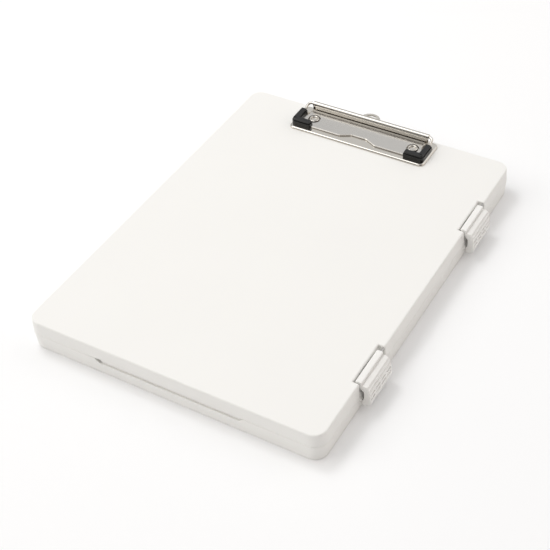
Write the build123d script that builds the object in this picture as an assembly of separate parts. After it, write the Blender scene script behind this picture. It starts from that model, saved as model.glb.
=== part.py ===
from build123d import *

import math
import os

os.makedirs("parts", exist_ok=True)

# Storage clipboard box: a shallow moulded tray with a hinged lid whose top is a clipboard.
# Millimetres. The origin is on the table under the middle of the case; +Z is up, +X is the
# latch side, -X the hinge side, -Y the front edge with the finger slot, +Y the clip end.

# --- Case shells -----------------------------------------------------------------------
case_width = 230.2          # across the widest line, where lid and tray meet
case_length = 306.4
tray_height = 13.6          # table to the parting plane
lid_height = 10.6           # parting plane to the clipboard surface
parting_gap = 0.2
wall = 2.4
floor_thickness = 2.0
top_thickness = 2.2
corner_radius = 10.0
wall_draft = 3.5            # degrees, both shells narrow away from the parting plane
top_edge_radius = 1.2
bottom_edge_radius = 1.0
inner_edge_bevel = 0.8
rim_edge_bevel = 0.3

# --- Rim joint: a tongue on the tray stands inside a rebate in the lid --------------------
tongue_height = 1.2
tongue_thickness = 1.05
tongue_clearance = 0.25

# --- Finger slot in the tray's front wall, filled behind by a skirt that hangs from the lid --
slot_length = 117.0
slot_height = 3.6
slot_end_slant = 45.0       # degrees
skirt_recess = 1.4          # the skirt's face behind the outer face of the wall
skirt_thickness = 1.0
skirt_clearance = 0.3       # to the slot's lower edge and right end
skirt_left_gap = 2.2        # the slot's left end stays open

# --- Hinge on the left long side ----------------------------------------------------------
knuckle_radius = 2.8
knuckle_length = 8.0
knuckle_gap = 0.4
knuckle_count = 5           # the outer two and the middle one belong to the tray
knuckle_clearance = 0.3     # from a knuckle to the other shell's wall
knuckle_arm_flare = 2.5
hinge_setback = 58.2        # middle of each set of knuckles, from the case's end
hinge_pin_radius = 1.0
hinge_pin_fit = 0.05
hinge_pin_recess = 0.8

# --- Latches on the right long side -------------------------------------------------------
latch_setback = 70.5        # middle of each notch, from the case's end
latch_length = 31.0
notch_length = 36.5
notch_depth = 5.4           # from the widest line inwards
notch_front_gap = 0.5       # the latch stands at the front end of its notch
pocket_wall = 1.8
pocket_floor = 1.6
pocket_end_wall = 5.0
notch_corner_radius = 1.0   # of the wall's corners at the ends of a notch
latch_pivot_inset = 1.7     # from the widest line inwards
latch_pivot_drop = 1.6      # below the clipboard surface
latch_barrel_radius = 2.3
latch_reach = 7.1           # outer face beyond the widest line, at the bottom of the grip
latch_lip_gap = 1.0         # the closed lip's inner face beyond the widest line
latch_lip_height = 4.6
latch_hollow_depth = 1.1    # the inner face steps back this much above the lip
latch_neck_drop = 6.2       # top of the hollow below the pivot
latch_foot_clearance = 4.2  # the latch's lowest edge above the table
latch_chin_length = 2.0
latch_chin_rise = 0.7
latch_chin_height = 2.8     # the grip face starts this far above the lowest edge
latch_face_lean = 1.3       # the grip face leans in by this much towards its top
latch_ridge_drop = 1.2      # thumb ridge's inner edge below the clipboard surface
latch_ridge_width = 3.5
latch_ridge_fall = 1.5      # across the ridge, outwards
latch_valley_drop = 2.1     # valley between barrel and ridge, below the clipboard surface
latch_valley_width = 0.8
latch_valley_flank = 0.7
latch_edge_radius = 0.6
latch_end_bevel = 0.4
latch_pin_radius = 0.6
latch_pin_fit = 0.05
latch_pin_seat = 3.0        # blind length in each end wall of the notch
grip_rib_count = 5
grip_rib_full_count = 3     # the lower ones are broken into short dashes
grip_rib_height = 0.5
grip_rib_root = 1.6         # width of a rib where it leaves the grip face
grip_rib_crest = 0.7
grip_rib_pitch = 2.6
grip_rib_end_gap = 1.2
grip_dash_count = 4
grip_dash_share = 0.55      # of the dash pitch that is rib
catch_end_gap = 0.5         # the catch rail's ends stand past the latch's by this much
catch_height = 3.6
catch_top_drop = 2.9        # below the parting plane
catch_lip_clearance = 0.3

# --- Board clip: base plate with rolled tube and hanging tab -------------------------------
clip_offset = -4.0          # the clip's middle, centred between hinge side and latch notches
clip_setback = 3.6          # base plate's rear edge from the case's widest line
base_width = 119.2
base_depth = 31.6
base_rise = 1.8             # the pressed plateau over the clipboard surface
base_sheet = 1.0
base_corner_radius = 4.5
base_edge_radius = 1.5
tube_length = 103.0
tube_axis_height = 7.2      # over the clipboard surface
tube_axis_inset = 2.2       # from the base plate's rear edge
riser_offset = 1.2          # from the tube's axis forwards to the riser's middle
riser_end_gap = 0.6         # between the bent-up strip and the ears beside it
tab_radius = 8.4
tab_reach = 6.9             # rearmost point behind the tube's axis
tab_drop = 0.9              # upper face below the top of the tube
tab_rim_width = 2.0
tab_hole_gap = 0.4          # from the hanging hole to the tube

# --- Board clip: spring wire, jaw plate, corner caps ----------------------------------------
wire_radius = 1.1
wire_fit = 0.08
wire_half_span = 55.6
jaw_side_play = -0.6        # how far wire and jaw have slid along the tube
wire_front_height = 4.4     # over the clipboard surface
wire_corner_radius = 3.0
wire_rise_length = 6.3      # run over which the legs climb to the tube
wire_rise_radius = 6.0
cap_width = 5.6
cap_front_length = 17.0
cap_side_length = 18.0
cap_height = 5.0
cap_seat_gap = 0.05
cap_outer_radius = 3.2
cap_end_radius = 0.7
cap_tier_height = 1.9
cap_tier_inset = 0.6
cap_top_bevel = 0.4
cap_dimple_radius = 0.9
cap_dimple_depth = 0.3
cap_wire_fit = 0.03
cap_front_offset = 3.8      # cap's front face behind the base plate's front edge
jaw_sheet = 0.8
jaw_lift = 0.6              # over the base plate's plateau
jaw_side_gap = 0.5          # to the wire's legs
jaw_waist_inset = 3.4       # each side, behind the caps' grip
jaw_grip_depth = 9.0        # how far the full width reaches back from the front edge
jaw_lip_drop = 0.35         # the plate's edge is turned down all round
jaw_lip_width = 1.0
jaw_edge_bevel = 0.3
jaw_front_offset = 5.6      # behind the base plate's front edge
jaw_rear_gap = 0.8          # to the riser
jaw_corner_radius = 2.0
jaw_slot_fit = 0.05
wave_length = 31.0
wave_flat = 13.0
wave_depth = 4.6
wave_crest_radius = 4.0
wave_foot_radius = 2.5

# --- Rivets that fasten the clip to the lid ---------------------------------------------------
rivet_half_spacing = 44.0
rivet_setback = 15.9        # from the base plate's rear edge
rivet_shank_radius = 2.2
rivet_head_radius = 4.2
rivet_head_height = 2.1
rivet_dimple_radius = 2.4
rivet_dimple_depth = 1.2
rivet_crown_bevel = 0.7
rivet_mouth_bevel = 0.5
rivet_fit = 0.05
rivet_tail_radius = 3.4
rivet_tail_height = 0.7
rivet_window_clearance = 1.0
washer_radius = 5.5
washer_thickness = 0.8
boss_radius = 7.5
boss_height = 1.0

# --- Places worked out from the sizes above ----------------------------------------------------
tray_rim = tray_height - parting_gap / 2
lid_rim = tray_height + parting_gap / 2
lid_top = tray_height + lid_height
lid_ceiling = lid_top - top_thickness
half_width = case_width / 2
half_length = case_length / 2
hinge_station = half_length - hinge_setback
latch_station = half_length - latch_setback
hinge_x = -(half_width + knuckle_radius + knuckle_clearance)
hinge_run = knuckle_count * knuckle_length + (knuckle_count - 1) * knuckle_gap
slot_slant_run = slot_height / math.tan(math.radians(slot_end_slant))
pocket_x = half_width - notch_depth
pivot_x = half_width - latch_pivot_inset
pivot_z = lid_top - latch_pivot_drop
base_rear = half_length - clip_setback
base_front = base_rear - base_depth
plateau = lid_top + base_rise
tube_y = base_rear - tube_axis_inset
tube_z = lid_top + tube_axis_height
tube_bore = wire_radius + wire_fit
tube_radius = tube_bore + base_sheet
rivet_y = base_rear - rivet_setback
jaw_under = plateau + jaw_lift
jaw_middle = clip_offset + jaw_side_play
cap_front = base_front + cap_front_offset
cap_side = wire_half_span + cap_width / 2
cap_under = plateau + cap_seat_gap
wire_front_y = cap_front + cap_width / 2
wire_z = lid_top + wire_front_height


def block(x0, x1, y0, y1, z0, z1):
    """Rectangular block between two corners."""
    return Pos((x0 + x1) / 2, (y0 + y1) / 2, (z0 + z1) / 2) * Box(x1 - x0, y1 - y0, z1 - z0)


def rod(radius, y0, y1, x, z):
    """Round rod along Y."""
    return Pos(x, (y0 + y1) / 2, z) * Rot(90, 0, 0) * Cylinder(radius, y1 - y0)


def drafted_block(inset, z, height, upwards):
    """Rounded case outline, inset from the widest line, narrowing away from z."""
    plane = Plane((0, 0, z), x_dir=(1, 0, 0), z_dir=(0, 0, 1 if upwards else -1))
    outline = RectangleRounded(case_width - 2 * inset, case_length - 2 * inset, corner_radius - inset)
    return extrude(plane * outline, amount=height, taper=wall_draft)


def end_edges(body, highest):
    """Edges of the highest or the lowest flat face."""
    return body.faces().sort_by(Axis.Z)[-1 if highest else 0].edges()


def hinge_knuckles(first, rim, side):
    """Every second knuckle of both hinge sets, with arms up (side 1) or down (side -1)."""
    root_x = -half_width + wall / 2
    arm_edge = tray_height + side * knuckle_radius
    arm = Polyline(
        (hinge_x, arm_edge),
        (root_x, arm_edge + side * knuckle_arm_flare),
        (root_x, rim),
        (hinge_x, rim),
        close=True,
    )
    knuckles = []
    for station in (-hinge_station, hinge_station):
        for index in range(first, knuckle_count, 2):
            y0 = station - hinge_run / 2 + index * (knuckle_length + knuckle_gap)
            plane = Plane((0, y0, 0), x_dir=(1, 0, 0), z_dir=(0, -1, 0))
            knuckles.append(extrude(plane * make_face(arm), amount=-knuckle_length))
            knuckles.append(rod(knuckle_radius, y0, y0 + knuckle_length, hinge_x, tray_height))
    return knuckles


def hinge_bores():
    """Pin bores through both hinge sets."""
    return [
        rod(hinge_pin_radius + hinge_pin_fit, station - hinge_run, station + hinge_run, hinge_x, tray_height)
        for station in (-hinge_station, hinge_station)
    ]


def make_tray():
    """Moulded tray: drafted shell, rim tongue, finger slot, hinge knuckles, latch catches."""
    tray = drafted_block(0, tray_rim, tray_rim, upwards=False)
    tray = fillet(end_edges(tray, highest=False), bottom_edge_radius)
    tray = chamfer(end_edges(tray, highest=True), rim_edge_bevel)
    cavity = drafted_block(wall, tray_rim, tray_rim - floor_thickness, upwards=False)
    tray -= chamfer(end_edges(cavity, highest=False), inner_edge_bevel)

    tongue_inset = wall - tongue_thickness
    tongue_base = Plane.XY.offset(tray_rim)
    tongue_outer = RectangleRounded(
        case_width - 2 * tongue_inset, case_length - 2 * tongue_inset, corner_radius - tongue_inset
    )
    tongue_inner = RectangleRounded(case_width - 2 * wall, case_length - 2 * wall, corner_radius - wall)
    tongue = extrude(tongue_base * (tongue_outer - tongue_inner), amount=tongue_height)
    tongue_top = tray_rim + tongue_height
    tongue -= block(-half_width, -half_width + corner_radius, -half_length, half_length, tray_rim, tongue_top)
    station_half = notch_length / 2 + pocket_end_wall + tongue_clearance
    for station in (-latch_station, latch_station):
        tongue -= block(
            half_width - corner_radius, half_width,
            station - station_half, station + station_half, tray_rim, tongue_top,
        )
    gap_half = slot_length / 2 + skirt_clearance
    tongue -= block(-gap_half, gap_half, -half_length, -half_length + corner_radius, tray_rim, tongue_top)
    tray += tongue

    slot = Polyline(
        (-slot_length / 2, tray_rim),
        (-slot_length / 2 + slot_slant_run, tray_rim - slot_height),
        (slot_length / 2 - slot_slant_run, tray_rim - slot_height),
        (slot_length / 2, tray_rim),
        close=True,
    )
    slot_plane = Plane((0, -half_length + 2 * wall, 0), x_dir=(1, 0, 0), z_dir=(0, -1, 0))
    tray -= extrude(slot_plane * make_face(slot), amount=3 * wall)

    catch_top = tray_rim - catch_top_drop
    catch_x = half_width + latch_lip_gap - catch_lip_clearance
    catch_root = half_width - wall / 2
    catch = Polyline(
        (catch_root, catch_top),
        (half_width, catch_top),
        (catch_x, catch_top - (catch_x - half_width)),
        (catch_x, catch_top - catch_height + (catch_x - half_width)),
        (half_width, catch_top - catch_height),
        (catch_root, catch_top - catch_height),
        close=True,
    )
    for start in latch_starts():
        plane = Plane((0, start - catch_end_gap, 0), x_dir=(1, 0, 0), z_dir=(0, -1, 0))
        tray += extrude(plane * make_face(catch), amount=-(latch_length + 2 * catch_end_gap))

    for knuckle in hinge_knuckles(0, tray_rim, -1):
        tray += knuckle
    for bore in hinge_bores():
        tray -= bore
    return tray


def latch_starts():
    """Front end of each latch along Y."""
    return [station - notch_length / 2 + notch_front_gap for station in (-latch_station, latch_station)]


def notched_lid_block():
    """Outer form of the lid with both latch notches, every edge of its top face rounded."""
    outer = drafted_block(0, lid_rim, lid_top - lid_rim, upwards=True)
    outer = chamfer(end_edges(outer, highest=False), rim_edge_bevel)
    notch_ends = []
    for station in (-latch_station, latch_station):
        y0 = station - notch_length / 2
        y1 = station + notch_length / 2
        outer -= block(pocket_x, half_width + wall, y0, y1, lid_rim + pocket_floor, lid_top + wall)
        notch_ends += [y0, y1]
    wall_corners = [
        edge
        for edge in outer.edges()
        if edge.center().X > half_width - latch_pivot_inset
        and abs(edge.tangent_at(0.5).Z) > math.cos(math.radians(2 * wall_draft))
        and min(abs(edge.center().Y - y) for y in notch_ends) < notch_corner_radius / 2
    ]
    outer = fillet(wall_corners, notch_corner_radius)
    return fillet(end_edges(outer, highest=True), top_edge_radius)


def make_skirt():
    """Moulded strip that hangs from the lid's wall into the finger slot, open at the left end."""
    low_z = tray_rim - slot_height + skirt_clearance
    root_z = lid_rim + tongue_height + tongue_clearance
    drop_share = (tray_rim - low_z) / slot_height
    left = -slot_length / 2 + skirt_left_gap
    right = slot_length / 2 - skirt_clearance * math.sqrt(2)
    outline = Polyline(
        (left, root_z),
        (left, tray_rim),
        (left + slot_slant_run * drop_share, low_z),
        (right - slot_slant_run * drop_share, low_z),
        (right, tray_rim),
        (right, root_z),
        close=True,
    )
    plane = Plane((0, -half_length + skirt_recess + skirt_thickness, 0), x_dir=(1, 0, 0), z_dir=(0, -1, 0))
    return extrude(plane * make_face(outline), amount=skirt_thickness)


def make_lid():
    """Moulded lid: clipboard surface, drafted walls, rebate, latch pockets, hinge knuckles."""
    outer = notched_lid_block()
    cavity = drafted_block(wall, lid_rim, lid_ceiling - lid_rim, upwards=True)
    lid = outer - chamfer(end_edges(cavity, highest=True), inner_edge_bevel)
    rebate_inset = wall - tongue_thickness - tongue_clearance
    lid -= drafted_block(rebate_inset, lid_rim, tongue_height + tongue_clearance, upwards=True)

    for station in (-latch_station, latch_station):
        y0 = station - notch_length / 2
        y1 = station + notch_length / 2
        pocket_shell = block(
            pocket_x - pocket_wall, half_width,
            y0 - pocket_end_wall, y1 + pocket_end_wall, lid_rim, lid_top,
        )
        lid += pocket_shell & outer
        bore_radius = latch_pin_radius + latch_pin_fit
        lid -= rod(bore_radius, y0 - latch_pin_seat, y1 + latch_pin_seat, pivot_x, pivot_z)

    lid += make_skirt()
    for side in (-1, 1):
        x = clip_offset + side * rivet_half_spacing
        lid += Pos(x, rivet_y, lid_ceiling - boss_height / 2) * Cylinder(boss_radius, boss_height)
        lid -= Pos(x, rivet_y, lid_top) * Cylinder(rivet_shank_radius + rivet_fit, 2 * lid_height)

    for knuckle in hinge_knuckles(1, lid_rim, 1):
        lid += knuckle
    for bore in hinge_bores():
        lid -= bore
    return lid


def latch_outline():
    """Side view of a latch without its barrel: valley, thumb ridge, grip face, chin, lip, hollow."""
    lip_x = half_width + latch_lip_gap
    hollow_x = lip_x + latch_hollow_depth
    grip_x = half_width + latch_reach
    lip_top = latch_foot_clearance + latch_lip_height
    ridge_x = grip_x - latch_face_lean
    ridge_z = lid_top - latch_ridge_drop
    valley_x = ridge_x - latch_ridge_width - latch_valley_flank
    valley_z = lid_top - latch_valley_drop
    points = [
        (pivot_x, pivot_z),
        (pivot_x, pivot_z - latch_barrel_radius),
        (hollow_x, pivot_z - latch_neck_drop),
        (hollow_x, lip_top + latch_hollow_depth),
        (lip_x, lip_top),
        (lip_x, latch_foot_clearance),
        (grip_x - latch_chin_length, latch_foot_clearance + latch_chin_rise),
        (grip_x, latch_foot_clearance + latch_chin_height),
        (ridge_x, ridge_z - latch_ridge_fall),
        (ridge_x - latch_ridge_width, ridge_z),
        (valley_x, valley_z),
        (valley_x - latch_valley_width, valley_z),
    ]
    outline = make_face(Polyline(*points, close=True))
    return fillet(outline.vertices(), latch_edge_radius)


def grip_ribs(start):
    """Ribs across the grip face: full ones at the top, rows of short dashes below."""
    grip_x = half_width + latch_reach
    foot_z = latch_foot_clearance + latch_chin_height
    face_height = lid_top - latch_ridge_drop - latch_ridge_fall - foot_z
    face_length = math.hypot(latch_face_lean, face_height)
    rib_run = latch_length - 2 * grip_rib_end_gap
    dash_pitch = rib_run / grip_dash_count
    ribs = []
    for row in range(grip_rib_count):
        share = (row + 0.5) * grip_rib_pitch / face_length
        x = grip_x - latch_face_lean * (1 - share)
        z = foot_z + face_height * (1 - share)
        section = Polyline(
            (x - grip_rib_height, z - grip_rib_root / 2),
            (x, z - grip_rib_root / 2),
            (x + grip_rib_height, z - grip_rib_crest / 2),
            (x + grip_rib_height, z + grip_rib_crest / 2),
            (x, z + grip_rib_root / 2),
            (x - grip_rib_height, z + grip_rib_root / 2),
            close=True,
        )
        runs = [(index * dash_pitch, dash_pitch * grip_dash_share) for index in range(grip_dash_count)]
        if row < grip_rib_full_count:
            runs = [(0, rib_run)]
        for offset, length in runs:
            plane = Plane((0, start + grip_rib_end_gap + offset, 0), x_dir=(1, 0, 0), z_dir=(0, -1, 0))
            ribs.append(extrude(plane * make_face(section), amount=-length))
    return ribs


def make_latch(start):
    """Moulded latch with its bevelled ends, ribbed grip face and pin bore."""
    plane = Plane((0, start, 0), x_dir=(1, 0, 0), z_dir=(0, -1, 0))
    body = extrude(plane * latch_outline(), amount=-latch_length)
    barrel = rod(latch_barrel_radius, start, start + latch_length, pivot_x, pivot_z)
    latch = Part()
    for solid in (body, barrel):
        latch += chamfer(solid.faces().filter_by(Axis.Y).edges(), latch_end_bevel)
    for rib in grip_ribs(start):
        latch += rib
    bore_radius = latch_pin_radius + latch_pin_fit
    latch -= rod(bore_radius, start - wall, start + latch_length + wall, pivot_x, pivot_z)
    return latch


def make_base_plate():
    """Pressed sheet: inverted-pan plate, riser rolled into a tube, half-round hanging tab."""
    middle_y = (base_front + base_rear) / 2
    seat = Plane((clip_offset, middle_y, lid_top))
    plate = extrude(seat * RectangleRounded(base_width, base_depth, base_corner_radius), amount=base_rise)
    plate = fillet(end_edges(plate, highest=True), base_edge_radius)
    hollow = RectangleRounded(
        base_width - 2 * base_sheet, base_depth - 2 * base_sheet, base_corner_radius - base_sheet
    )
    plate -= extrude(seat * hollow, amount=base_rise - base_sheet)
    riser_y = tube_y - riser_offset
    strip_half = tube_length / 2 + riser_end_gap
    plate -= block(
        clip_offset - strip_half, clip_offset + strip_half,
        riser_y + base_sheet / 2, base_rear + base_sheet, lid_top, plateau,
    )
    plate += block(
        clip_offset - tube_length / 2, clip_offset + tube_length / 2,
        riser_y - base_sheet / 2, riser_y + base_sheet / 2, lid_top, tube_z - tube_bore,
    )
    across = Rot(0, 90, 0)
    plate += Pos(clip_offset, tube_y, tube_z) * across * Cylinder(tube_radius, tube_length)

    tab_top = tube_z + tube_radius - tab_drop
    tab_centre = Pos(clip_offset, tube_y + tab_reach - tab_radius, tab_top - base_sheet / 2)
    tab = tab_centre * Cylinder(tab_radius, base_sheet)
    hole = tab_centre * Cylinder(tab_radius - tab_rim_width, base_sheet)
    plate += tab & block(
        clip_offset - tab_radius, clip_offset + tab_radius,
        tube_y, tube_y + tab_reach, tab_top - base_sheet, tab_top,
    )
    plate -= hole & block(
        clip_offset - tab_radius, clip_offset + tab_radius,
        tube_y + tube_radius + tab_hole_gap, tube_y + tab_reach, tab_top - base_sheet, tab_top,
    )
    plate -= Pos(clip_offset, tube_y, tube_z) * across * Cylinder(tube_bore, tube_length)

    for side in (-1, 1):
        x = clip_offset + side * rivet_half_spacing
        seat_height = base_rise - base_sheet / 2
        plate += Pos(x, rivet_y, lid_top + seat_height / 2) * Cylinder(rivet_head_radius, seat_height)
        plate -= Pos(x, rivet_y, plateau) * Cylinder(rivet_shank_radius + rivet_fit, 3 * base_rise)
    return plate


def wire_path():
    """Centre line of the spring wire, from the left front arm through the tube to the right one."""
    reach = cap_side - cap_front_length + cap_width / 2
    left = [
        (-reach, wire_front_y, wire_z),
        (-wire_half_span, wire_front_y, wire_z),
        (-wire_half_span, tube_y - wire_rise_length, wire_z),
        (-wire_half_span, tube_y, tube_z),
    ]
    right = [(-x, y, z) for x, y, z in reversed(left)]
    points = [(jaw_middle + x, y, z) for x, y, z in left + right]
    bends = [wire_corner_radius, wire_rise_radius, wire_corner_radius]
    return FilletPolyline(*points, radius=bends + bends[::-1])


def make_spring_wire():
    """Round spring wire along its centre line."""
    path = wire_path()
    return sweep(Plane(origin=path @ 0, z_dir=path % 0) * Circle(wire_radius), path=path)


def corner_ell(side, half, tip_x, tip_y, outer_radius, inner_radius):
    """L seen from above, its arms of half width `half` centred on the wire's front and side runs."""
    ell = Polyline(
        (tip_x, wire_front_y - half),
        (wire_half_span + half, wire_front_y - half),
        (wire_half_span + half, tip_y),
        (wire_half_span - half, tip_y),
        (wire_half_span - half, wire_front_y + half),
        (tip_x, wire_front_y + half),
        close=True,
    )
    face = make_face(ell)
    outer = face.vertices().sort_by_distance((wire_half_span + half, wire_front_y - half, 0))[0]
    face = fillet(outer, outer_radius)
    inner = face.vertices().sort_by_distance((wire_half_span - half, wire_front_y + half, 0))[0]
    face = fillet(inner, inner_radius)
    if side < 0:
        face = mirror(face, about=Plane.YZ)
    return face


def cap_outline(side, inset):
    """Outline of one tier of a corner cap, with rounded arm ends."""
    tip_x = cap_side - cap_front_length + inset
    tip_y = cap_front + cap_side_length - inset
    face = corner_ell(side, cap_width / 2 - inset, tip_x, tip_y, cap_outer_radius - inset, cap_end_radius)
    tips = [
        corner
        for corner in face.vertices()
        if min(abs(abs(corner.X) - tip_x), abs(corner.Y - tip_y)) < cap_seat_gap
    ]
    return fillet(tips, cap_end_radius)


def wire_channel(side):
    """Channel in a cap that the wire's front corner lies in, open to the plate slot below."""
    half = wire_radius + cap_wire_fit
    tip_x = cap_side - cap_front_length + cap_width / 2 - cap_wire_fit
    tip_y = cap_front + cap_side_length + cap_width
    outline = corner_ell(side, half, tip_x, tip_y, wire_corner_radius + half, wire_corner_radius - half)
    low_z = jaw_under + jaw_sheet
    return extrude(Plane.XY.offset(low_z) * outline, amount=wire_z + half - low_z)


def jaw_outline(clearance):
    """Blank of the jaw plate: full width in the caps' grip, a waist behind, a wave in front."""
    half = wire_half_span - wire_radius - jaw_side_gap + clearance
    waist = half - jaw_waist_inset
    front = base_front + jaw_front_offset - clearance
    grip = base_front + jaw_front_offset + jaw_grip_depth + clearance
    rear = tube_y - riser_offset - base_sheet / 2 - jaw_rear_gap + clearance
    blank = Polyline(
        (-half, front),
        (half, front),
        (half, grip),
        (waist, grip + jaw_waist_inset),
        (waist, rear),
        (-waist, rear),
        (-waist, grip + jaw_waist_inset),
        (-half, grip),
        close=True,
    )
    plate = make_face(blank)
    plate = fillet(plate.vertices(), jaw_corner_radius)
    wave = Polyline(
        (-wave_length / 2 - wave_depth, front - wave_depth),
        (-wave_length / 2, front),
        (-wave_flat / 2, front + wave_depth),
        (wave_flat / 2, front + wave_depth),
        (wave_length / 2, front),
        (wave_length / 2 + wave_depth, front - wave_depth),
        close=True,
    )
    cut = make_face(wave)
    cut = fillet(cut.vertices().sort_by(Axis.Y)[-2:], wave_crest_radius)
    plate -= cut
    feet = [
        plate.vertices().sort_by_distance((side * wave_length / 2, front, 0))[0]
        for side in (-1, 1)
    ]
    return Pos(jaw_middle, 0) * fillet(feet, wave_foot_radius)


def make_jaw_plate():
    """Jaw plate with a turned-down edge and clearance windows over the rivet heads."""
    outline = jaw_outline(0)
    plate = extrude(Plane.XY.offset(jaw_under) * outline, amount=jaw_sheet)
    plate = chamfer(end_edges(plate, highest=True), jaw_edge_bevel)
    inner = offset(outline, amount=-jaw_lip_width, kind=Kind.INTERSECTION)
    plate += extrude(Plane.XY.offset(jaw_under - jaw_lip_drop) * (outline - inner), amount=jaw_lip_drop)
    for side in (-1, 1):
        x = clip_offset + side * rivet_half_spacing
        window = rivet_head_radius + rivet_window_clearance
        plate -= Pos(x, rivet_y, jaw_under + jaw_sheet / 2) * Cylinder(window, 4 * jaw_sheet)
    return plate


def make_cap(side):
    """Moulded corner cap in two tiers, slotted for the jaw plate and bored for the wire."""
    tier = cap_under + cap_height - cap_tier_height
    low = extrude(Plane.XY.offset(cap_under) * cap_outline(side, 0), amount=tier - cap_under)
    high = extrude(Plane.XY.offset(tier) * cap_outline(side, cap_tier_inset), amount=cap_tier_height)
    high = chamfer(end_edges(high, highest=True), cap_top_bevel)
    dimple = Pos(side * (cap_side - cap_width / 2), wire_front_y, cap_under + cap_height)
    high -= dimple * Cylinder(cap_dimple_radius, 2 * cap_dimple_depth)
    cap = Pos(jaw_middle, 0, 0) * (low + high)
    slot_low = jaw_under - jaw_lip_drop - jaw_slot_fit
    slot_high = jaw_under + jaw_sheet + jaw_slot_fit
    cap -= extrude(Plane.XY.offset(slot_low) * jaw_outline(jaw_slot_fit), amount=slot_high - slot_low)
    return cap - Pos(jaw_middle, 0, 0) * wire_channel(side)


def make_rivet(side):
    """Steel rivet with a dimpled round head over the plate and a clinched tail in the lid."""
    tail_top = lid_ceiling - boss_height - washer_thickness
    head_top = plateau + rivet_head_height
    profile = Polyline(
        (0, tail_top - rivet_tail_height),
        (rivet_tail_radius, tail_top - rivet_tail_height),
        (rivet_tail_radius, tail_top),
        (rivet_shank_radius, tail_top),
        (rivet_shank_radius, plateau),
        (rivet_head_radius, plateau),
        (rivet_head_radius, head_top - rivet_crown_bevel),
        (rivet_head_radius - rivet_crown_bevel, head_top),
        (rivet_dimple_radius + rivet_mouth_bevel, head_top),
        (rivet_dimple_radius, head_top - rivet_mouth_bevel),
        (rivet_dimple_radius, head_top - rivet_dimple_depth),
        (0, head_top - rivet_dimple_depth),
        close=True,
    )
    rivet = revolve(Plane.XZ * make_face(profile), axis=Axis.Z)
    return Pos(clip_offset + side * rivet_half_spacing, rivet_y, 0) * rivet


def make_washer(side):
    """Flat washer between the clinched tail and the boss under the lid."""
    middle = lid_ceiling - boss_height - washer_thickness / 2
    washer = Cylinder(washer_radius, washer_thickness)
    washer -= Cylinder(rivet_shank_radius + rivet_fit, washer_thickness)
    return Pos(clip_offset + side * rivet_half_spacing, rivet_y, middle) * washer


def make_hinge_pin(station):
    """Steel hinge pin, recessed at both ends of its set of knuckles."""
    half = hinge_run / 2 - hinge_pin_recess
    return rod(hinge_pin_radius, station - half, station + half, hinge_x, tray_height)


def make_latch_pin(station):
    """Steel pin across a latch notch, its ends seated in the notch's end walls."""
    half = notch_length / 2 + latch_pin_seat - latch_pin_fit
    return rod(latch_pin_radius, station - half, station + half, pivot_x, pivot_z)


front_latch_start, rear_latch_start = latch_starts()
parts = {
    "tray_shell": make_tray(),
    "lid_shell": make_lid(),
    "hinge_pin_front": make_hinge_pin(-hinge_station),
    "hinge_pin_rear": make_hinge_pin(hinge_station),
    "latch_front": make_latch(front_latch_start),
    "latch_rear": make_latch(rear_latch_start),
    "latch_pin_front": make_latch_pin(-latch_station),
    "latch_pin_rear": make_latch_pin(latch_station),
    "clip_base_plate": make_base_plate(),
    "clip_spring_wire": make_spring_wire(),
    "clip_jaw_plate": make_jaw_plate(),
    "clip_cap_left": make_cap(-1),
    "clip_cap_right": make_cap(1),
    "clip_rivet_left": make_rivet(-1),
    "clip_rivet_right": make_rivet(1),
    "rivet_washer_left": make_washer(-1),
    "rivet_washer_right": make_washer(1),
}
for name, solid in parts.items():
    export_step(solid, f"parts/{name}.step")
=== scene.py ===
import math

import bmesh
import bpy
from mathutils import Matrix, Vector


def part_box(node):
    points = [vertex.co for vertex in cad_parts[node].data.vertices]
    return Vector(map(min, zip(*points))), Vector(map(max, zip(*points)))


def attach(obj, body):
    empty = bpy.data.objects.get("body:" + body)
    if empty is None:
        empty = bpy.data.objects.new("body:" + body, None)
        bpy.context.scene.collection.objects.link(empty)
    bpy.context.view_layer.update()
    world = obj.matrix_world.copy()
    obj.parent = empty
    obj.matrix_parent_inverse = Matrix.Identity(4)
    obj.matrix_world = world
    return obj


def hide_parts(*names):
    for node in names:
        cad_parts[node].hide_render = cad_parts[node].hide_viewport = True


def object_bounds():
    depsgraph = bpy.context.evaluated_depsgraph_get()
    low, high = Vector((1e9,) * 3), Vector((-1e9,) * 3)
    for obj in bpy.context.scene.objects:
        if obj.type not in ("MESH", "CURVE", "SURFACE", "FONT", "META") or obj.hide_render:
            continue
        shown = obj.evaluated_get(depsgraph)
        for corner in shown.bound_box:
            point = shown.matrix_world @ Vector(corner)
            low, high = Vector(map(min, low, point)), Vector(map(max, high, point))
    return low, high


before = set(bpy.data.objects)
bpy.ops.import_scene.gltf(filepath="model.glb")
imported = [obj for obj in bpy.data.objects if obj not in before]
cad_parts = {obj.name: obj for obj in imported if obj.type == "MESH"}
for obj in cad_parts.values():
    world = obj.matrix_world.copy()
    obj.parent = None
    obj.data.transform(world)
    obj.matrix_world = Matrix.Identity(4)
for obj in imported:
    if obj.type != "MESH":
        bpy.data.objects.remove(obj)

cad_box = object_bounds()
scene = bpy.context.scene


# Camera. The photograph looks down on the closed box past its front right corner, from under
# a metre away. Its optical centre lies right of the frame's middle, hence the small shift.
camera_data = bpy.data.cameras.new("camera")
camera_data.lens = 78.2
camera_data.sensor_width = 36.0
camera_data.shift_x = -0.0818
camera_data.clip_start = 0.01
camera = bpy.data.objects.new("camera", camera_data)
camera.location = (0.3520, -0.5504, 0.5961)
camera.rotation_euler = [math.radians(turn) for turn in (46.859, 1.733, 28.742)]
scene.collection.objects.link(camera)
scene.camera = camera


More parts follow.
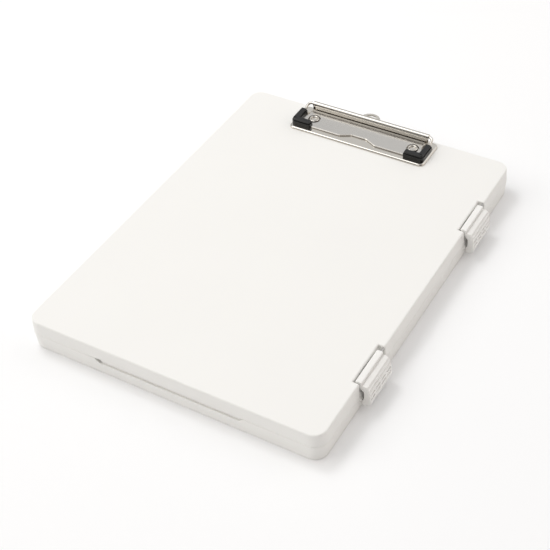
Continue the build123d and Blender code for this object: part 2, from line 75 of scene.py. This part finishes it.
# Tray and lid. The two halves of the case are injection moulded in white polypropylene, with
# the fine, barely glossy spark texture that such cases have on every outer face.
def moulded_plastic(name, colour, roughness, grain, grain_depth, tint_spread):
    """Moulded plastic: faint cloudiness in the colour, and a fine tool texture as bump."""
    material = bpy.data.materials.new(name)
    material.use_nodes = True
    tree = material.node_tree
    shader = tree.nodes["Principled BSDF"]
    shader.inputs["Roughness"].default_value = roughness
    shader.inputs["IOR"].default_value = 1.49
    place = tree.nodes.new("ShaderNodeTexCoord")

    cloud = tree.nodes.new("ShaderNodeTexNoise")
    cloud.inputs["Scale"].default_value = 14.0
    cloud.inputs["Detail"].default_value = 3.0
    tree.links.new(place.outputs["Object"], cloud.inputs["Vector"])
    tint = tree.nodes.new("ShaderNodeValToRGB")
    tint.color_ramp.elements[0].position = 0.3
    tint.color_ramp.elements[0].color = [part * (1 - tint_spread) for part in colour] + [1]
    tint.color_ramp.elements[1].position = 0.7
    tint.color_ramp.elements[1].color = list(colour) + [1]
    tree.links.new(cloud.outputs["Fac"], tint.inputs["Fac"])
    tree.links.new(tint.outputs["Color"], shader.inputs["Base Color"])

    speckle = tree.nodes.new("ShaderNodeTexNoise")
    speckle.inputs["Scale"].default_value = 1 / grain
    speckle.inputs["Detail"].default_value = 2.0
    tree.links.new(place.outputs["Object"], speckle.inputs["Vector"])
    bump = tree.nodes.new("ShaderNodeBump")
    bump.inputs["Strength"].default_value = 0.35
    bump.inputs["Distance"].default_value = grain_depth
    tree.links.new(speckle.outputs["Fac"], bump.inputs["Height"])
    tree.links.new(bump.outputs["Normal"], shader.inputs["Normal"])
    return material


def dress(node, material):
    """Gives a CAD node its finish."""
    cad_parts[node].data.materials.clear()
    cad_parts[node].data.materials.append(material)


case_plastic = moulded_plastic("case_plastic", (0.895, 0.889, 0.862), 0.46, 0.0006, 0.00001, 0.01)
dress("tray_shell", case_plastic)
dress("lid_shell", case_plastic)


# Latches. Each is one white moulding, a shade smoother than the case: a square-shouldered barrel
# that turns on a steel pin, a thumb ridge, and a grip face that steps outwards in moulded ribs,
# the lower ones broken up by short recesses.
latch_plastic = moulded_plastic(
    "latch_plastic", (0.90, 0.893, 0.868), 0.34, 0.0004, 0.000004, 0.008
)
latch_length = 0.031
latch_pin_x, latch_pin_z = 0.1134, 0.0226
crease = math.radians(32)  # edges that turn more than this stay sharp
latch_outline = (  # side view in mm: across the case, up, and the corner's radius
    (111.15, 24.90, 0.8), (115.70, 24.90, 0.6), (115.75, 21.90, 0.3), (116.90, 22.60, 0.4),
    (119.90, 21.75, 0.3), (119.60, 20.75, 0.15), (120.75, 20.25, 0.3), (121.00, 18.50, 0.3),
    (120.10, 18.05, 0.15), (121.45, 17.60, 0.3), (121.70, 15.80, 0.3), (122.30, 8.20, 0.6),
    (122.20, 7.00, 0.5), (120.20, 4.95, 0.5), (116.10, 4.35, 0.4), (116.10, 8.80, 0.4),
    (117.20, 9.90, 0.4), (117.20, 16.40, 0.5), (113.40, 20.30, 0.6), (111.15, 21.20, 0.8),
)


def rounded(corners, steps):
    """Points of an outline in metres, with an arc at each of its corners."""
    points = []
    for index, (x, z, radius) in enumerate(corners):
        corner = Vector((x, z))
        before = (Vector(corners[index - 1][:2]) - corner).normalized()
        after = (Vector(corners[(index + 1) % len(corners)][:2]) - corner).normalized()
        half_angle = before.angle(after) / 2
        centre = corner + (before + after).normalized() * radius / math.sin(half_angle)
        first = corner + before * radius / math.tan(half_angle)
        last = corner + after * radius / math.tan(half_angle)
        sweep = (first - centre).angle_signed(last - centre)
        for step in range(steps + 1):
            arm = (first - centre).copy()
            arm.rotate(Matrix.Rotation(-sweep * step / steps, 2))
            points.append((centre + arm) / 1000)
    return points


def latch_blank(name, start):
    """The latch before its recesses: its side view run along the case, with eased ends."""
    outline = rounded(latch_outline, 4)
    ease = 0.00025  # chamfer round both ends
    eased = []
    for index, point in enumerate(outline):
        along = outline[(index + 1) % len(outline)] - outline[index - 1]
        eased.append(point + Vector((along.y, -along.x)).normalized() * ease)
    form = bmesh.new()
    rings = []
    for y, ring in (
        (start, eased), (start + ease, outline),
        (start + latch_length - ease, outline), (start + latch_length, eased),
    ):
        rings.append([form.verts.new((point.x, y, point.y)) for point in ring])
    for near, far in zip(rings, rings[1:]):
        for index in range(len(near)):
            following = (index + 1) % len(near)
            form.faces.new((near[index], near[following], far[following], far[index]))
    form.faces.new(rings[0])
    form.faces.new(rings[-1])
    bmesh.ops.recalc_face_normals(form, faces=form.faces)
    mesh = bpy.data.meshes.new(name)
    form.to_mesh(mesh)
    form.free()
    blank = bpy.data.objects.new(name, mesh)
    scene.collection.objects.link(blank)
    return blank


def recess_tree():
    """Nodes that cut rows of short recesses, and the pin's bore, out of a latch."""
    tree = bpy.data.node_groups.new("grip_recesses", "GeometryNodeTree")
    sockets = tree.interface
    sockets.new_socket("Latch", in_out="INPUT", socket_type="NodeSocketGeometry")
    for label, kind in (
        ("First Recess", "NodeSocketVector"), ("Recess Size", "NodeSocketVector"),
        ("Along Row", "NodeSocketVector"), ("To Next Row", "NodeSocketVector"),
        ("Per Row", "NodeSocketInt"), ("Rows", "NodeSocketInt"),
        ("Bore Middle", "NodeSocketVector"), ("Bore Radius", "NodeSocketFloat"),
        ("Bore Length", "NodeSocketFloat"), ("Finish", "NodeSocketMaterial"),
    ):
        sockets.new_socket(label, in_out="INPUT", socket_type=kind)
    sockets.new_socket("Latch", in_out="OUTPUT", socket_type="NodeSocketGeometry")
    given = tree.nodes.new("NodeGroupInput")
    made = tree.nodes.new("NodeGroupOutput")

    def link(source, target):
        tree.links.new(source, target)

    cutter = tree.nodes.new("GeometryNodeMeshCube")
    link(given.outputs["Recess Size"], cutter.inputs["Size"])
    row = tree.nodes.new("GeometryNodeMeshLine")
    link(given.outputs["Per Row"], row.inputs["Count"])
    link(given.outputs["First Recess"], row.inputs["Start Location"])
    link(given.outputs["Along Row"], row.inputs["Offset"])
    one_row = tree.nodes.new("GeometryNodeInstanceOnPoints")
    link(row.outputs["Mesh"], one_row.inputs["Points"])
    link(cutter.outputs["Mesh"], one_row.inputs["Instance"])
    column = tree.nodes.new("GeometryNodeMeshLine")
    link(given.outputs["Rows"], column.inputs["Count"])
    link(given.outputs["To Next Row"], column.inputs["Offset"])
    all_rows = tree.nodes.new("GeometryNodeInstanceOnPoints")
    link(column.outputs["Mesh"], all_rows.inputs["Points"])
    link(one_row.outputs["Instances"], all_rows.inputs["Instance"])
    drill = tree.nodes.new("GeometryNodeMeshCylinder")
    drill.inputs["Vertices"].default_value = 24
    link(given.outputs["Bore Radius"], drill.inputs["Radius"])
    link(given.outputs["Bore Length"], drill.inputs["Depth"])
    place = tree.nodes.new("GeometryNodeTransform")
    place.inputs["Rotation"].default_value = (math.pi / 2, 0, 0)  # the bore runs along Y
    link(drill.outputs["Mesh"], place.inputs["Geometry"])
    link(given.outputs["Bore Middle"], place.inputs["Translation"])
    cut = tree.nodes.new("GeometryNodeMeshBoolean")
    cut.operation = "DIFFERENCE"
    cut.solver = "EXACT"
    single = tree.nodes.new("GeometryNodeRealizeInstances")
    link(all_rows.outputs["Instances"], single.inputs["Geometry"])
    link(given.outputs["Latch"], cut.inputs["Mesh 1"])
    link(place.outputs["Geometry"], cut.inputs["Mesh 2"])
    link(single.outputs["Geometry"], cut.inputs["Mesh 2"])
    whole = tree.nodes.new("GeometryNodeRealizeInstances")
    link(cut.outputs["Mesh"], whole.inputs["Geometry"])
    finish = tree.nodes.new("GeometryNodeSetMaterial")
    link(whole.outputs["Geometry"], finish.inputs["Geometry"])
    link(given.outputs["Finish"], finish.inputs["Material"])
    link(finish.outputs["Geometry"], made.inputs["Latch"])
    return tree


def grow(piece, tree, sizes):
    """Runs a node tree on a piece with the given inputs, and keeps the result as its mesh."""
    nodes = piece.modifiers.new(tree.name, "NODES")
    nodes.node_group = tree
    for socket in tree.interface.items_tree:
        if socket.in_out == "INPUT" and socket.name in sizes:
            nodes[socket.identifier] = sizes[socket.name]
    mesh = bpy.data.meshes.new_from_object(
        piece.evaluated_get(bpy.context.evaluated_depsgraph_get())
    )
    piece.modifiers.remove(nodes)
    piece.data = mesh
    mesh.shade_smooth()
    mesh.set_sharp_from_angle(angle=crease)


recesses = recess_tree()
for end in ("front", "rear"):
    latch_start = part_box("latch_" + end)[0].y
    latch = latch_blank("grip_latch_" + end, latch_start)
    grow(latch, recesses, {
        "First Recess": (0.1222, latch_start + 0.0039, 0.0145),
        "Recess Size": (0.0040, 0.0056, 0.0011),
        "Along Row": (0.0, 0.00775, 0.0),
        "To Next Row": (0.00015, 0.0, -0.0034),
        "Per Row": 4,
        "Rows": 2,
        "Bore Middle": (latch_pin_x, latch_start + latch_length / 2, latch_pin_z),
        "Bore Radius": 0.00066,
        "Bore Length": 0.04,
        "Finish": latch_plastic,
    })
    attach(latch, end + "_latch")
    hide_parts("latch_" + end)


# Pins and washers. Plain drawn steel wire, cut to length, and stamped steel washers.
def drawn_steel(name, colour, roughness):
    """Steel with fine drawing marks along Y."""
    material = bpy.data.materials.new(name)
    material.use_nodes = True
    tree = material.node_tree
    shader = tree.nodes["Principled BSDF"]
    shader.inputs["Metallic"].default_value = 1.0
    place = tree.nodes.new("ShaderNodeTexCoord")
    stretch = tree.nodes.new("ShaderNodeMapping")
    stretch.inputs["Scale"].default_value = (2400.0, 60.0, 2400.0)
    tree.links.new(place.outputs["Object"], stretch.inputs["Vector"])
    marks = tree.nodes.new("ShaderNodeTexNoise")
    marks.inputs["Scale"].default_value = 1.0
    tree.links.new(stretch.outputs["Vector"], marks.inputs["Vector"])
    shade = tree.nodes.new("ShaderNodeValToRGB")
    shade.color_ramp.elements[0].color = [part * 0.82 for part in colour] + [1]
    shade.color_ramp.elements[1].color = list(colour) + [1]
    tree.links.new(marks.outputs["Fac"], shade.inputs["Fac"])
    tree.links.new(shade.outputs["Color"], shader.inputs["Base Color"])
    gloss = tree.nodes.new("ShaderNodeMapRange")
    gloss.inputs["To Min"].default_value = roughness * 0.8
    gloss.inputs["To Max"].default_value = roughness * 1.3
    tree.links.new(marks.outputs["Fac"], gloss.inputs["Value"])
    tree.links.new(gloss.outputs["Result"], shader.inputs["Roughness"])
    return material


steel = drawn_steel("drawn_steel", (0.52, 0.51, 0.50), 0.3)
for node in (
    "hinge_pin_front", "hinge_pin_rear", "latch_pin_front", "latch_pin_rear",
    "rivet_washer_left", "rivet_washer_right",
):
    dress(node, steel)


# Board clip. Pressed sheet steel and spring wire, bright nickel plated. The sheet of the jaw is
# a little duller than the base plate and the wire.
def nickel_plate(name, colour, roughness):
    """Nickel plating: mirror-like, faintly warm, with small changes in tint and gloss."""
    material = bpy.data.materials.new(name)
    material.use_nodes = True
    tree = material.node_tree
    shader = tree.nodes["Principled BSDF"]
    shader.inputs["Metallic"].default_value = 1.0
    place = tree.nodes.new("ShaderNodeTexCoord")
    patch = tree.nodes.new("ShaderNodeTexNoise")
    patch.inputs["Scale"].default_value = 90.0
    patch.inputs["Detail"].default_value = 4.0
    tree.links.new(place.outputs["Object"], patch.inputs["Vector"])
    shade = tree.nodes.new("ShaderNodeValToRGB")
    shade.color_ramp.elements[0].color = [part * 0.94 for part in colour] + [1]
    shade.color_ramp.elements[1].color = list(colour) + [1]
    tree.links.new(patch.outputs["Fac"], shade.inputs["Fac"])
    tree.links.new(shade.outputs["Color"], shader.inputs["Base Color"])
    gloss = tree.nodes.new("ShaderNodeMapRange")
    gloss.inputs["To Min"].default_value = roughness * 0.8
    gloss.inputs["To Max"].default_value = roughness * 1.25
    tree.links.new(patch.outputs["Fac"], gloss.inputs["Value"])
    tree.links.new(gloss.outputs["Result"], shader.inputs["Roughness"])
    return material


bright_nickel = nickel_plate("bright_nickel", (0.68, 0.65, 0.60), 0.07)
satin_nickel = nickel_plate("satin_nickel", (0.66, 0.64, 0.61), 0.20)
dress("clip_base_plate", bright_nickel)
dress("clip_spring_wire", bright_nickel)
dress("clip_jaw_plate", satin_nickel)


# Rivets. Two nickel plated steel rivets hold the clip to the lid. Their heads are upset round a
# flat-bottomed dimple, so the crown is a rounded ring, and their tails are clinched inside.
def turned_tree():
    """Nodes that turn a profile into a solid of revolution and set copies of it in a row."""
    tree = bpy.data.node_groups.new("turned_rivets", "GeometryNodeTree")
    sockets = tree.interface
    sockets.new_socket("Profile", in_out="INPUT", socket_type="NodeSocketGeometry")
    for label, kind in (
        ("Facets", "NodeSocketInt"), ("Count", "NodeSocketInt"), ("First", "NodeSocketVector"),
        ("Spacing", "NodeSocketVector"), ("Finish", "NodeSocketMaterial"),
    ):
        sockets.new_socket(label, in_out="INPUT", socket_type=kind)
    sockets.new_socket("Rivets", in_out="OUTPUT", socket_type="NodeSocketGeometry")
    given = tree.nodes.new("NodeGroupInput")
    made = tree.nodes.new("NodeGroupOutput")
    section = tree.nodes.new("GeometryNodeMeshToCurve")
    lathe = tree.nodes.new("GeometryNodeCurvePrimitiveCircle")
    lathe.inputs["Radius"].default_value = 1e-7  # next to nothing: the profile holds the radii
    turned = tree.nodes.new("GeometryNodeCurveToMesh")
    closed = tree.nodes.new("GeometryNodeMergeByDistance")
    closed.inputs["Distance"].default_value = 2e-6  # joins the points on the axis
    row = tree.nodes.new("GeometryNodeMeshLine")
    copies = tree.nodes.new("GeometryNodeInstanceOnPoints")
    whole = tree.nodes.new("GeometryNodeRealizeInstances")
    finish = tree.nodes.new("GeometryNodeSetMaterial")
    for source, target in (
        (given.outputs["Profile"], section.inputs["Mesh"]),
        (given.outputs["Facets"], lathe.inputs["Resolution"]),
        (lathe.outputs["Curve"], turned.inputs["Curve"]),
        (section.outputs["Curve"], turned.inputs["Profile Curve"]),
        (turned.outputs["Mesh"], closed.inputs["Geometry"]),
        (given.outputs["Count"], row.inputs["Count"]),
        (given.outputs["First"], row.inputs["Start Location"]),
        (given.outputs["Spacing"], row.inputs["Offset"]),
        (row.outputs["Mesh"], copies.inputs["Points"]),
        (closed.outputs["Geometry"], copies.inputs["Instance"]),
        (copies.outputs["Instances"], whole.inputs["Geometry"]),
        (whole.outputs["Geometry"], finish.inputs["Geometry"]),
        (given.outputs["Finish"], finish.inputs["Material"]),
        (finish.outputs["Geometry"], made.inputs["Rivets"]),
    ):
        tree.links.new(source, target)
    return tree


left_low, left_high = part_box("clip_rivet_left")
right_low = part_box("clip_rivet_right")[0]
ring_radius, ring_height, ring_round = 3.3, 27.2, 0.9
crown = [
    (ring_radius + ring_round * math.cos(angle), ring_height + ring_round * math.sin(angle))
    for angle in (math.radians(step) for step in range(0, 166, 15))
]
rivet_profile = [  # radius and height in mm, from the tail up and over the head
    (0.0, 19.5), (3.1, 19.5), (3.4, 19.8), (3.4, 20.2), (2.2, 20.2), (2.2, 26.0), (4.1, 26.0),
    (4.2, 26.1), *crown, (2.35, 27.15), (2.15, 26.92), (1.9, 26.88), (0.0, 26.88),
]
profile_mesh = bpy.data.meshes.new("clip_rivets")
profile_mesh.from_pydata(  # Curve to Mesh turns the profile over, so its heights are negative
    [(radius / 1000, -height / 1000, 0.0) for radius, height in rivet_profile],
    [(index, index + 1) for index in range(len(rivet_profile) - 1)], [],
)
rivets = bpy.data.objects.new("clip_rivets", profile_mesh)
scene.collection.objects.link(rivets)
grow(rivets, turned_tree(), {
    "Facets": 48,
    "Count": 2,
    "First": ((left_low.x + left_high.x) / 2, (left_low.y + left_high.y) / 2, 0.0),
    "Spacing": (right_low.x - left_low.x, 0.0, 0.0),
    "Finish": bright_nickel,
})
outward = bmesh.new()
outward.from_mesh(rivets.data)
bmesh.ops.recalc_face_normals(outward, faces=outward.faces)
outward.to_mesh(rivets.data)
outward.free()
rivets.data.set_sharp_from_angle(angle=crease)
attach(rivets, "lid")
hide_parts("clip_rivet_left", "clip_rivet_right")


# Corner caps. Two black mouldings pressed onto the jaw plate and the ends of the wire.
cap_plastic = moulded_plastic("cap_plastic", (0.003, 0.003, 0.003), 0.28, 0.0005, 0.000003, 0.2)
dress("clip_cap_left", cap_plastic)
dress("clip_cap_right", cap_plastic)


# Studio. A pale floor that keeps the box's shadow and goes to white away from it, inside a light
# tent whose cloth is brightest front left and back right, under a large soft box.
bpy.ops.mesh.primitive_plane_add(size=6.0)
floor = bpy.context.object
floor.name = "floor"
floor_material = bpy.data.materials.new("floor_white")
floor_material.use_nodes = True
floor_tree = floor_material.node_tree
floor_tree.nodes.clear()
paint = floor_tree.nodes.new("ShaderNodeBsdfDiffuse")
paint.inputs["Color"].default_value = (0.915, 0.92, 0.925, 1)
glow = floor_tree.nodes.new("ShaderNodeEmission")
glow.inputs["Strength"].default_value = 0.045
nothing = floor_tree.nodes.new("ShaderNodeEmission")
nothing.inputs["Strength"].default_value = 0.0
seen = floor_tree.nodes.new("ShaderNodeLightPath")
in_view = floor_tree.nodes.new("ShaderNodeMath")
in_view.operation = "MAXIMUM"
pick = floor_tree.nodes.new("ShaderNodeMixShader")
total = floor_tree.nodes.new("ShaderNodeAddShader")
floor_out = floor_tree.nodes.new("ShaderNodeOutputMaterial")
floor_tree.links.new(seen.outputs["Is Camera Ray"], in_view.inputs[0])
floor_tree.links.new(seen.outputs["Is Glossy Ray"], in_view.inputs[1])
floor_tree.links.new(in_view.outputs["Value"], pick.inputs["Fac"])
floor_tree.links.new(nothing.outputs["Emission"], pick.inputs[1])
floor_tree.links.new(glow.outputs["Emission"], pick.inputs[2])
floor_tree.links.new(paint.outputs["BSDF"], total.inputs[0])
floor_tree.links.new(pick.outputs["Shader"], total.inputs[1])
floor_tree.links.new(total.outputs["Shader"], floor_out.inputs["Surface"])
floor.data.materials.append(floor_material)

world = bpy.data.worlds.new("studio")
world.use_nodes = True
scene.world = world
world_tree = world.node_tree
world_tree.nodes.clear()
direction = world_tree.nodes.new("ShaderNodeTexCoord")
towards = world_tree.nodes.new("ShaderNodeSeparateXYZ")
world_tree.links.new(direction.outputs["Generated"], towards.inputs["Vector"])
azimuth = world_tree.nodes.new("ShaderNodeMath")
azimuth.operation = "ARCTAN2"
world_tree.links.new(towards.outputs["Y"], azimuth.inputs[0])
world_tree.links.new(towards.outputs["X"], azimuth.inputs[1])
turn = world_tree.nodes.new("ShaderNodeMapRange")
turn.inputs["From Min"].default_value = -math.pi
turn.inputs["From Max"].default_value = math.pi
world_tree.links.new(azimuth.outputs["Value"], turn.inputs["Value"])


def tent_band(cloth):
    """A band of the tent's cloth: its colours at even steps, from -X round by -Y and back."""
    ramp = world_tree.nodes.new("ShaderNodeValToRGB")
    stops = ramp.color_ramp.elements
    for index, colour in enumerate(cloth + cloth[:1]):
        stop = stops[index] if index < 2 else stops.new(index / len(cloth))
        stop.position = index / len(cloth)
        stop.color = colour + (1,)
    world_tree.links.new(turn.outputs["Result"], ramp.inputs["Fac"])
    return ramp.outputs["Color"]


def above(lower, upper, start, end):
    """Soft change from the lower band to the upper one, by the sine of the height."""
    share = world_tree.nodes.new("ShaderNodeMapRange")
    share.interpolation_type = "SMOOTHSTEP"
    share.inputs["From Min"].default_value = start
    share.inputs["From Max"].default_value = end
    world_tree.links.new(towards.outputs["Z"], share.inputs["Value"])
    mix = world_tree.nodes.new("ShaderNodeMix")
    mix.data_type = "RGBA"
    world_tree.links.new(share.outputs["Result"], mix.inputs["Factor"])
    world_tree.links.new(lower, mix.inputs["A"])
    world_tree.links.new(upper, mix.inputs["B"])
    return mix.outputs["Result"]


skirt = tent_band([
    (0.17, 0.165, 0.16), (0.54, 0.52, 0.50), (0.69, 0.66, 0.63), (0.02, 0.02, 0.02),
    (0.14, 0.135, 0.13), (0.03, 0.03, 0.03), (0.02, 0.02, 0.02), (0.10, 0.085, 0.08),
    (0.29, 0.25, 0.22), (0.38, 0.35, 0.33), (0.41, 0.39, 0.37), (0.35, 0.34, 0.33),
    (0.28, 0.28, 0.28), (0.20, 0.20, 0.20), (0.14, 0.14, 0.145), (0.15, 0.15, 0.155),
])
walls = tent_band([
    (0.29, 0.29, 0.29), (0.88, 0.87, 0.85), (1.0, 0.98, 0.96), (0.20, 0.20, 0.20),
    (0.70, 0.67, 0.65), (0.38, 0.37, 0.36), (0.06, 0.06, 0.06), (0.07, 0.07, 0.07),
    (0.28, 0.24, 0.22), (0.42, 0.40, 0.39), (0.54, 0.54, 0.53), (0.44, 0.44, 0.44),
    (0.33, 0.33, 0.34), (0.32, 0.32, 0.32), (0.30, 0.30, 0.30), (0.28, 0.29, 0.30),
])
roof = tent_band([(0.22, 0.22, 0.22)] * 4)
sky = world_tree.nodes.new("ShaderNodeBackground")
sky.inputs["Strength"].default_value = 2.5
tent = above(above(skirt, walls, 0.40, 0.54), roof, 0.82, 0.92)
world_tree.links.new(tent, sky.inputs["Color"])
backdrop = world_tree.nodes.new("ShaderNodeBackground")
backdrop.inputs["Strength"].default_value = 1.0
ray = world_tree.nodes.new("ShaderNodeLightPath")
choose = world_tree.nodes.new("ShaderNodeMixShader")
world_out = world_tree.nodes.new("ShaderNodeOutputWorld")
world_tree.links.new(ray.outputs["Is Camera Ray"], choose.inputs["Fac"])
world_tree.links.new(sky.outputs["Background"], choose.inputs[1])
world_tree.links.new(backdrop.outputs["Background"], choose.inputs[2])
world_tree.links.new(choose.outputs["Shader"], world_out.inputs["Surface"])

# The soft box and its hot core. The core adds light but is kept out of the metal's reflections.
for name, power, width in (("key_softbox", 3.6, 0.75), ("key_core", 3.0, 0.35)):
    lamp_data = bpy.data.lights.new(name, "AREA")
    lamp_data.energy = power
    lamp_data.size = width
    lamp = bpy.data.objects.new(name, lamp_data)
    lamp.location = (-0.60, 0.14, 1.42)
    lamp_aim = cad_box[0].lerp(cad_box[1], 0.5) - lamp.location
    lamp.rotation_euler = lamp_aim.to_track_quat("-Z", "Y").to_euler()
    lamp.visible_glossy = name == "key_softbox"
    scene.collection.objects.link(lamp)

scene.view_settings.view_transform = "Standard"
